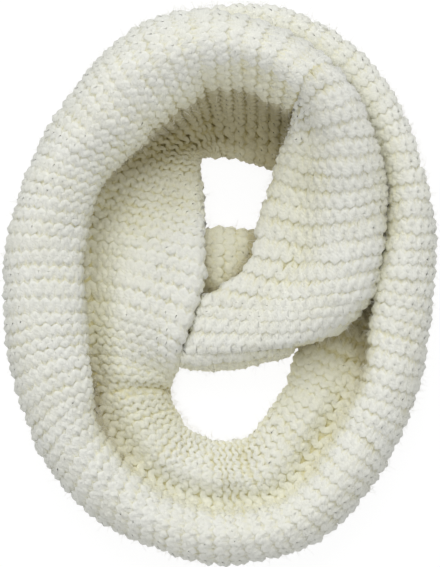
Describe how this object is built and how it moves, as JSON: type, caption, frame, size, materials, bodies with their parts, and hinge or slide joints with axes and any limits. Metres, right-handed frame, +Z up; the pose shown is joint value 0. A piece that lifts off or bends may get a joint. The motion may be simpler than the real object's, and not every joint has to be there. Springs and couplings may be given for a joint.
{
  "type": "infinity scarf",
  "caption": "Chunky garter-knit infinity scarf, a wide endless band wound twice and laid flat, with its two rolled turns crossing at the top around the neck opening.",
  "frame": {"origin": "middle of the scarf's outline in the plan, on the surface that it lies on", "axes": "+Z up from the surface, +Y up the laid scarf towards the place where its turns cross, +X to the right seen from above"},
  "size_m": [0.3206, 0.4174, 0.1003],
  "materials": {
    "yarn": "matte"
  },
  "bodies": {
    "root": {"right_stretch": "yarn", "lower_stretch": "yarn", "left_stretch": "yarn", "upper_stretch": "yarn", "inner_stretch": "yarn", "bridge_stretch": "yarn", "inner_fold": "yarn", "hidden_layers": "yarn"}
  },
  "joints": []
}
